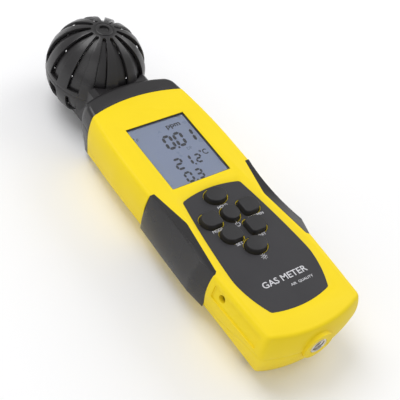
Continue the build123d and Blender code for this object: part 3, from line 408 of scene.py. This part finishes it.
def softened(node: str, name: str, finish: Finish, width: float,
             body: str = METER) -> bpy.types.Object:
    """Stands in for a CAD node with a copy whose sharp edges are rounded.

    Args:
        node: The CAD node.
        name: The new piece's name.
        finish: The piece's finish.
        width: Width of the rounding, in metres.
        body: The body that the piece moves with.

    Returns:
        The rounded piece, which replaces the node.
    """
    bm = welded(node)
    round_edges(bm, SHARP_DEGREES, width, segments=2)
    piece = finish_piece(bm, name, finish, body, smooth_angle=32.0)
    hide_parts(node)
    return piece


def turned(bm: bmesh.types.BMesh, profile: list[Spot], centre: Vector, axis: Vector,
           steps: int = 48) -> None:
    """Adds a ring-shaped solid turned round an axis.

    Args:
        bm: The mesh that it goes in.
        profile: Closed outline as (radius, distance along the axis), in metres.
        centre: A point on the axis.
        axis: The axis, as a unit vector.
        steps: Number of steps in the full turn.
    """
    across = axis.orthogonal().normalized()
    verts = [bm.verts.new(centre + across * r + axis * t) for r, t in profile]
    edges = [bm.edges.new((verts[i - 1], verts[i])) for i in range(len(verts))]
    bmesh.ops.spin(bm, geom=verts + edges, cent=centre, axis=axis, angle=math.tau, steps=steps,
                   use_merge=True)


def arc_bar(bm: bmesh.types.BMesh, centre: Vector, radius: float, width: float, thick: float,
            start: float, sweep: float) -> None:
    """Adds a flat bar bent to an arc, lying in a level plane.

    Args:
        bm: The mesh that it goes in.
        centre: The arc's centre, at the bar's underside.
        radius: The arc's radius.
        width: The bar's width.
        thick: The bar's thickness.
        start: Angle of its first end, in degrees from +X.
        sweep: Angle that it covers, in degrees.
    """
    way = heading(start)
    corners = [(-0.5, 0.0), (0.5, 0.0), (0.5, 1.0), (-0.5, 1.0)]
    verts = [bm.verts.new(centre + way * (radius + u * width) + Vector((0, 0, v * thick)))
             for u, v in corners]
    edges = [bm.edges.new((verts[i - 1], verts[i])) for i in range(len(verts))]
    full = sweep >= 360.0
    made = bmesh.ops.spin(bm, geom=verts + edges, cent=centre, axis=(0, 0, 1), angle=math.radians(sweep),
                          steps=max(int(sweep / 12), 3), use_merge=full)
    if not full:
        last = [e for e in made["geom_last"] if isinstance(e, bmesh.types.BMEdge)]
        bmesh.ops.holes_fill(bm, edges=edges, sides=4)
        bmesh.ops.holes_fill(bm, edges=last, sides=4)


def bar(bm: bmesh.types.BMesh, centre: Vector, length: float, width: float, thick: float, turn: float,
        pointed: bool = True) -> list[bmesh.types.BMVert]:
    """Adds a straight flat bar with pointed or square ends.

    Args:
        bm: The mesh that it goes in.
        centre: Middle of the bar's underside.
        length: Its whole length.
        width: Its width.
        thick: Its thickness.
        turn: Its turn from +X, in degrees.
        pointed: Whether its ends are pointed, as a display's segments are.

    Returns:
        The bar's vertices.
    """
    made = bmesh.ops.create_cone(bm, cap_ends=True, segments=6 if pointed else 4, radius1=1.0, radius2=1.0,
                                 depth=thick)
    verts = made["verts"]
    quarter = math.pi / 2 if pointed else math.pi / 4
    bmesh.ops.rotate(bm, verts=verts, cent=(0, 0, 0), matrix=Matrix.Rotation(quarter, 3, "Z"))
    for vert in verts:
        tip = pointed and abs(vert.co.y) < 0.1
        reach = length / 2 if tip or not pointed else length / 2 - width / 2
        vert.co.x = math.copysign(reach, vert.co.x)
        vert.co.y = 0.0 if tip else math.copysign(width / 2, vert.co.y)
    bmesh.ops.rotate(bm, verts=verts, cent=(0, 0, 0), matrix=Matrix.Rotation(math.radians(turn), 3, "Z"))
    bmesh.ops.translate(bm, verts=verts, vec=centre + Vector((0, 0, thick / 2)))
    return verts


def lettering(bm: bmesh.types.BMesh, words: str, centre: Vector, width: float, height: float,
              thick: float, bold: float = 0.0) -> None:
    """Adds flat raised lettering, fitted to a width and a height.

    Args:
        bm: The mesh that it goes in.
        words: The plain function words or numbers.
        centre: Middle of the lettering's underside.
        width: Its whole width.
        height: Its whole height.
        thick: How far it stands up.
        bold: Share of the size by which strokes are thickened.
    """
    curve = bpy.data.curves.new("lettering", "FONT")
    curve.body = words
    curve.resolution_u = 3
    curve.offset = bold
    curve.extrude = 0.5
    holder = bpy.data.objects.new("lettering", curve)
    mesh = bpy.data.meshes.new_from_object(holder)
    bpy.data.objects.remove(holder)
    bpy.data.curves.remove(curve)
    part = bmesh.new()
    part.from_mesh(mesh)
    bpy.data.meshes.remove(mesh)
    bmesh.ops.remove_doubles(part, verts=part.verts, dist=1e-5)
    low = Vector([min(v.co[i] for v in part.verts) for i in range(3)])
    high = Vector([max(v.co[i] for v in part.verts) for i in range(3)])
    size = high - low
    middle = Vector(((low.x + high.x) / 2, (low.y + high.y) / 2, low.z))
    bmesh.ops.translate(part, verts=part.verts, vec=-middle)
    bmesh.ops.scale(part, verts=part.verts, vec=(width / size.x, height / size.y, thick / size.z))
    bmesh.ops.translate(part, verts=part.verts, vec=centre)
    joined = bpy.data.meshes.new("lettering")
    part.to_mesh(joined)
    part.free()
    bm.from_mesh(joined)
    bpy.data.meshes.remove(joined)


# ---------------------------------------------------------------- case
@dataclass
class Case:
    """The yellow shells, the rubber grips and the battery door."""

    edge: float = 0.15 * MM
    grip_edge: float = 0.4 * MM
    arrow_y: float = -43.6 * MM
    arrow_size: float = 2.6 * MM
    arrow_draft: float = 0.9
    arrow_thick: float = 0.3 * MM
    arrow_sink: float = 0.17 * MM

    def build(self) -> None:
        """Rounds the shells' and grips' edges and marks the door."""
        softened("front_shell", "case_front", YELLOW_CASE, self.edge)
        softened("back_shell", "case_back", YELLOW_CASE, self.edge)
        softened("grip_left", "pad_left", GRIP_RUBBER, self.grip_edge)
        softened("grip_right", "pad_right", GRIP_RUBBER, self.grip_edge)
        softened("battery_door", "door_slide", YELLOW_CASE, self.edge, "door")
        self.arrow()

    def arrow(self) -> None:
        """Moulds the arrow that shows which way the door slides."""
        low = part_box("battery_door")[0]
        bm = bmesh.new()
        made = bmesh.ops.create_cone(bm, cap_ends=True, segments=3, radius1=self.arrow_size,
                                     radius2=self.arrow_size * self.arrow_draft, depth=self.arrow_thick)
        half_turn = Matrix.Rotation(math.pi, 3, "Z")
        bmesh.ops.rotate(bm, verts=made["verts"], cent=(0, 0, 0), matrix=half_turn)
        bmesh.ops.translate(bm, verts=made["verts"], vec=(0.0, self.arrow_y, low[2] + self.arrow_sink))
        finish_piece(bm, "door_arrow", YELLOW_CASE, "door")


# ---------------------------------------------------------------- sensor head
@dataclass
class SensorHead:
    """The slotted ball on its neck and the inner cage behind its slots."""

    rib_edge: float = 0.3 * MM
    petal_edge: float = 0.25 * MM
    solder_radius: float = 0.45 * MM
    pin_circle: float = 0.33

    def build(self) -> None:
        """Rounds the ribs and petals and adds the sensor's pins."""
        softened("head_front", "cage_front", HEAD_PLASTIC, self.rib_edge)
        softened("head_back", "cage_back", HEAD_PLASTIC, self.rib_edge)
        softened("baffle_front", "petals_front", HEAD_PLASTIC, self.petal_edge)
        softened("baffle_back", "petals_back", HEAD_PLASTIC, self.petal_edge)
        self.pins()

    def pins(self) -> None:
        """Domes the solder joints of the sensor's pins under its board."""
        low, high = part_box("gas_sensor")
        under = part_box("sensor_board")[0][2]
        middle = Vector(((low[0] + high[0]) / 2, (low[1] + high[1]) / 2, under))
        reach = (high[0] - low[0]) * self.pin_circle
        bm = bmesh.new()
        for angle in range(0, 360, 90):
            made = bmesh.ops.create_uvsphere(bm, u_segments=16, v_segments=8, radius=self.solder_radius)
            bmesh.ops.translate(bm, verts=made["verts"], vec=middle + heading(angle) * reach)
        finish_piece(bm, "sensor_solder", TIN_CAN, METER)


# ---------------------------------------------------------------- keypad
@dataclass
class Keypad:
    """The soft keys and the words printed on the label round them.

    A cap is the share skirt of its key's width at the label and the share taper at its top. Below the
    share flange of its height a key keeps its CAD shape.
    """

    crown: float = 0.35 * MM
    rim_degrees: float = 40.0
    skirt: float = 0.97
    taper: float = 0.92
    flange: float = 0.62
    ink: float = 0.03 * MM
    ray_radius: float = 1.35 * MM

    def build(self) -> None:
        """Rounds the key caps and prints the label."""
        for node in sorted(bpy.data.objects.keys()):
            if node.startswith("key_") and node != "key_switches":
                self.cap(node)
        self.words()

    def cap(self, node: str) -> None:
        """Builds one key with a tapered, softly rounded cap.

        Args:
            node: The key's CAD node, which is also its body.
        """
        low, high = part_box(node)
        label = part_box("keypad_label")[1][2]
        middle = Vector(((low[0] + high[0]) / 2, (low[1] + high[1]) / 2, 0.0))
        centred = Matrix.Translation(-middle)
        flange_top = low[2] + (high[2] - low[2]) * self.flange
        bm = welded(node)
        for vert in [v for v in bm.verts if v.co.z > flange_top]:
            rise = max((vert.co.z - label) / (high[2] - label), 0.0)
            share = self.skirt + (self.taper - self.skirt) * rise
            bmesh.ops.scale(bm, verts=[vert], vec=(share, share, 1.0), space=centred)
        round_edges(bm, self.rim_degrees, self.crown, segments=3)
        name = node.replace("key_", "cap_")
        piece = finish_piece(bm, name, KEY_RUBBER, node, smooth_angle=50.0)
        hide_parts(node)

    def at(self, x: float, y: float) -> Vector:
        """Gives a place on the label, from millimetres in the meter's frame."""
        return Vector((x * MM, y * MM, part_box("keypad_label")[1][2]))

    def words(self) -> None:
        """Prints the keys' functions, the two signs and the meter's kind."""
        bm = bmesh.new()
        for word, x, y, wide, high in (
            ("HOLD", -0.4, -29.1, 5.7, 1.55),
            ("MODE", -11.3, -40.1, 5.7, 1.5),
            ("MAX/MIN", 11.2, -40.1, 8.6, 1.5),
            ("SET", -6.4, -50.6, 3.9, 1.5),
            ("UNIT", 6.4, -50.6, 5.1, 1.5),
            ("GAS METER", 1.2, -74.6, 25.5, 3.3),
            ("AIR  QUALITY", 7.6, -79.6, 13.0, 1.5),
        ):
            lettering(bm, word, self.at(x, y), wide * MM, high * MM, self.ink, bold=0.012)
        arc_bar(bm, self.at(-0.2, -41.0), 1.1 * MM, 0.3 * MM, self.ink, 125.0, 290.0)
        bar(bm, self.at(-0.2, -39.9), 1.3 * MM, 0.3 * MM, self.ink, 90.0, pointed=False)
        arc_bar(bm, self.at(-0.3, -61.3), 0.62 * MM, 0.26 * MM, self.ink, 0.0, 360.0)
        for angle in range(0, 360, 45):
            place = self.at(-0.3, -61.3) + heading(angle) * self.ray_radius
            bar(bm, place, 0.6 * MM, 0.24 * MM, self.ink, angle, pointed=False)
        finish_piece(bm, "label_words", WHITE_INK, METER, smooth_angle=20.0)


# ---------------------------------------------------------------- readout
SEGMENTS = {"0": "abcdef", "1": "bc", "2": "abged", "3": "abgcd"}
SEGMENT_PLACES = {
    "a": (0.0, 0.5, 0.0), "g": (0.0, 0.0, 0.0), "d": (0.0, -0.5, 0.0), "b": (0.5, 0.25, 90.0),
    "c": (0.5, -0.25, 90.0), "e": (-0.5, -0.25, 90.0), "f": (-0.5, 0.25, 90.0),
}


@dataclass
class Readout:
    """The dark segments that the display shows."""

    slant: float = 0.10
    thick: float = 0.02 * MM
    lift: float = 0.01 * MM
    shift: Spot = (-1.1, -1.05)
    stroke_gap: float = 0.25

    def build(self) -> None:
        """Builds the figures, the units and the small sign."""
        bm = bmesh.new()
        for figure, x, y, wide, high, stroke in (
            ("0", 0.5, 15.9, 3.9, 7.7, 1.55),
            ("0", 6.7, 15.9, 3.9, 7.7, 1.55),
            ("1", 12.6, 15.9, 4.3, 7.9, 1.55),
            ("2", -3.0, 2.3, 3.7, 6.0, 1.25),
            ("1", 2.4, 2.5, 3.2, 6.0, 1.25),
            ("2", 8.2, 1.9, 2.8, 4.6, 1.05),
            ("0", -3.1, -6.4, 3.4, 5.4, 1.2),
            ("3", 2.9, -6.6, 3.1, 5.3, 1.15),
        ):
            self.figure(bm, figure, self.at(x, y), wide * MM, high * MM, stroke * MM)
        for x, y, size in ((3.4, 11.4, 1.1), (4.9, -0.8, 0.9), (-0.2, -9.4, 0.9)):
            bar(bm, self.at(x, y), size * MM, size * MM, self.thick, 0.0, pointed=False)
        lettering(bm, "ppm", self.at(8.9, 24.4), 8.2 * MM, 2.9 * MM, self.thick, bold=0.03)
        lettering(bm, "\u00b0C", self.at(12.9, 4.3), 4.2 * MM, 3.6 * MM, self.thick, bold=0.02)
        self.sign(bm)
        finish_piece(bm, "lcd_figures", LCD_INK, METER, smooth_angle=20.0)
        faint = bmesh.new()
        lettering(faint, "DP", self.at(7.9, 9.1), 2.8 * MM, 1.8 * MM, self.thick)
        finish_piece(faint, "lcd_faint_word", LCD_FAINT, METER, smooth_angle=20.0)

    def at(self, x: float, y: float) -> Vector:
        """Gives a place on the glass, from millimetres in the meter's frame."""
        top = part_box("lcd_glass")[1][2]
        return Vector(((x + self.shift[0]) * MM, (y + self.shift[1]) * MM, top + self.lift))

    def figure(self, bm: bmesh.types.BMesh, figure: str, centre: Vector, wide: float, high: float,
               stroke: float) -> None:
        """Adds one seven-segment figure.

        Args:
            bm: The mesh that it goes in.
            figure: Which figure, a key of SEGMENTS.
            centre: Its middle.
            wide: Distance between its upright strokes.
            high: Distance between its top and bottom strokes.
            stroke: Width of a stroke.
        """
        for name in SEGMENTS[figure]:
            u, v, turn = SEGMENT_PLACES[name]
            length = (high / 2 if turn else wide) - self.stroke_gap * stroke
            place = centre + Vector((u * wide, v * high, 0.0))
            verts = bar(bm, place, length, stroke, self.thick, turn)
            for vert in verts:
                vert.co.x += self.slant * (vert.co.y - centre.y)

    def sign(self, bm: bmesh.types.BMesh) -> None:
        """Adds the small alarm sign in the corner: a loudspeaker with two waves."""
        bar(bm, self.at(-15.0, 24.4), 1.5 * MM, 1.1 * MM, self.thick, -35.0)
        arc_bar(bm, self.at(-14.2, 23.9), 0.9 * MM, 0.25 * MM, self.thick, -80.0, 90.0)
        arc_bar(bm, self.at(-14.2, 23.9), 1.5 * MM, 0.25 * MM, self.thick, -80.0, 90.0)


# ---------------------------------------------------------------- sockets
@dataclass
class TripodSocket:
    """The threaded metal insert in the foot."""

    pitch: float = 1.27 * MM
    lead_in: float = 0.35 * MM
    thread_depth: float = 0.42 * MM
    floor: float = 1.0 * MM
    bore_share: float = 0.715
    ridge_share: float = 0.45
    first_turn: float = 1.6
    rooted: float = 0.05 * MM
    pinhole: float = 0.05 * MM
    turn_steps: int = 32

    def build(self) -> None:
        """Turns the sleeve and winds its thread."""
        low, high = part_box("tripod_insert")
        centre = Vector(((low[0] + high[0]) / 2, low[1], (low[2] + high[2]) / 2))
        outer = (high[0] - low[0]) / 2
        depth = high[1] - low[1]
        bore = outer * self.bore_share
        axis = Vector((0, 1, 0))
        bm = bmesh.new()
        turned(bm, [(outer, self.lead_in), (outer - self.lead_in, 0.0), (bore + self.lead_in, 0.0),
                    (bore, self.lead_in), (bore, depth - self.floor), (self.pinhole, depth - self.floor),
                    (self.pinhole, depth), (outer, depth)], centre, axis)
        across = axis.orthogonal().normalized()
        half = self.pitch * self.ridge_share
        start = self.lead_in * self.first_turn + half
        root = bore + self.rooted
        profile = [(root, start - half), (bore - self.thread_depth, start), (root, start + half)]
        verts = [bm.verts.new(centre + across * r + axis * t) for r, t in profile]
        edges = [bm.edges.new((verts[i - 1], verts[i])) for i in range(3)]
        turns = (depth - self.floor - start - half) / self.pitch
        steps = int(turns * self.turn_steps)
        made = bmesh.ops.spin(bm, geom=verts + edges, cent=centre, axis=axis, angle=math.tau * turns,
                              steps=steps, dvec=axis * (self.pitch * turns / steps))
        last = [e for e in made["geom_last"] if isinstance(e, bmesh.types.BMEdge)]
        bmesh.ops.holes_fill(bm, edges=edges, sides=3)
        bmesh.ops.holes_fill(bm, edges=last, sides=3)
        bmesh.ops.recalc_face_normals(bm, faces=bm.faces)
        piece = finish_piece(bm, "camera_thread", NICKEL, METER)
        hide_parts("tripod_insert")


@dataclass
class SideSocket:
    """The contact sleeve inside the side socket's mouth."""

    wall: float = 0.25 * MM
    sink: float = 0.6 * MM
    length: float = 3.0 * MM
    bore: float = 1.78 * MM
    axis_below_top: float = 2.6 * MM

    def build(self) -> None:
        """Turns the contact sleeve."""
        low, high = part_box("jack_socket")
        centre = Vector((low[0], (low[1] + high[1]) / 2, high[2] - self.axis_below_top))
        bm = bmesh.new()
        turned(bm, [(self.bore, self.sink), (self.bore - self.wall, self.sink + self.wall),
                    (self.bore - self.wall, self.length), (self.bore, self.length)], centre,
               Vector((1, 0, 0)), steps=32)
        bmesh.ops.recalc_face_normals(bm, faces=bm.faces)
        finish_piece(bm, "socket_contact", NICKEL, METER)


# ---------------------------------------------------------------- fasteners
@dataclass
class Fasteners:
    """The screws, with softened heads."""

    edge: float = 0.08 * MM

    def build(self) -> None:
        """Softens every group of screws."""
        for node in ("case_screws", "neck_screws", "board_screws"):
            softened(node, node.replace("screws", "screw_set"), STEEL, self.edge)


# ---------------------------------------------------------------- studio
@dataclass(frozen=True)
class Studio:
    """Pale floor, soft lights and the camera."""

    place: Place = (-0.27975, -0.24717, 0.40106)
    aim: Place = (0.00410, -0.01137, 0.0170)
    roll: float = 19.93
    lens: float = 99.86
    floor_size: float = 6.0
    floor_colour: Colour = (0.93, 0.93, 0.94)
    floor_roughness: float = 0.9
    surround: float = 0.55

    def build(self) -> None:
        """Builds the floor, the lights and the camera."""
        self.floor()
        self.world()
        self.lamp("key", (-0.25, 0.55, 1.1), 0.7, 7.0)
        self.lamp("fill", (-0.9, -0.5, 0.7), 1.0, 2.0)
        self.lamp("rim", (0.9, 0.1, 0.7), 0.6, 3.0)
        self.camera()

    def floor(self) -> None:
        """Builds the pale floor."""
        bm = bmesh.new()
        bmesh.ops.create_grid(bm, x_segments=1, y_segments=1, size=self.floor_size)
        mesh = bpy.data.meshes.new("floor")
        bm.to_mesh(mesh)
        bm.free()
        floor = bpy.data.objects.new("floor", mesh)
        bpy.context.scene.collection.objects.link(floor)
        material = bpy.data.materials.new("floor_white")
        material.use_nodes = True
        shader = material.node_tree.nodes["Principled BSDF"]
        shader.inputs["Base Color"].default_value = (*self.floor_colour, 1.0)
        shader.inputs["Roughness"].default_value = self.floor_roughness
        mesh.materials.append(material)

    def world(self) -> None:
        """Builds the even white surroundings."""
        world = bpy.data.worlds.new("studio")
        world.use_nodes = True
        background = world.node_tree.nodes["Background"]
        background.inputs["Color"].default_value = (1.0, 1.0, 1.0, 1.0)
        background.inputs["Strength"].default_value = self.surround
        bpy.context.scene.world = world

    def lamp(self, name: str, place: Place, size: float, power: float) -> None:
        """Builds one soft square lamp that points at the meter.

        Args:
            name: The lamp's name.
            place: Where it stands, in metres.
            size: Its side, in metres.
            power: Its power, in watts.
        """
        light = bpy.data.lights.new(name, "AREA")
        light.shape = "SQUARE"
        light.size = size
        light.energy = power
        lamp = bpy.data.objects.new(name, light)
        lamp.location = place
        lamp.rotation_euler = (-Vector(place)).to_track_quat("-Z", "Y").to_euler()
        bpy.context.scene.collection.objects.link(lamp)

    def camera(self) -> None:
        """Builds the camera and makes it the scene's."""
        data = bpy.data.cameras.new("camera")
        data.lens = self.lens
        camera = bpy.data.objects.new("camera", data)
        look = (Vector(self.aim) - Vector(self.place)).to_track_quat("-Z", "Y").to_matrix()
        rolled = look @ Matrix.Rotation(math.radians(self.roll), 3, "Z")
        camera.matrix_world = Matrix.Translation(self.place) @ rolled.to_4x4()
        bpy.context.scene.collection.objects.link(camera)
        bpy.context.scene.camera = camera
        bpy.context.scene.view_settings.view_transform = "Standard"


# ---------------------------------------------------------------- main
PLAIN = {
    "keypad_label": LABEL_FILM,
    "display_window": CLEAR_LENS,
    # the gasket's dark blue is painted shade for the recess round the display glass
    "display_gasket": GASKET_PAINTED_SHADE,
    "lcd_glass": LCD_FACE,
    "backlight": WHITE_PLASTIC,
    "contact_strip": GRIP_RUBBER,
    "display_holder": BLACK_PLASTIC,
    "main_board": CIRCUIT,
    "sensor_board": DARK_CIRCUIT,
    "key_switches": STEEL,
    "processor": BLACK_PLASTIC,
    "buzzer": BLACK_PLASTIC,
    "jack_socket": BLACK_PLASTIC,
    "battery": BATTERY_WRAP,
    "battery_clip": BLACK_PLASTIC,
    "battery_leads": LEAD_RED,
    "gas_sensor": TIN_CAN,
    "sensor_membrane": MEMBRANE,
    "humidity_chip": BLACK_PLASTIC,
    "ribbon_connectors": WHITE_PLASTIC,
    "sensor_ribbon": WHITE_PLASTIC,
}


def main() -> None:
    """Builds everything in order."""
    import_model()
    for node, finish in PLAIN.items():
        dress(node, finish)
    assemblies = (Case(), SensorHead(), Keypad(), Readout(), TripodSocket(), SideSocket(), Fasteners())
    for assembly in assemblies:
        assembly.build()
        log.info("built %s", type(assembly).__name__)
    Studio().build()


if __name__ == "__main__":
    main()
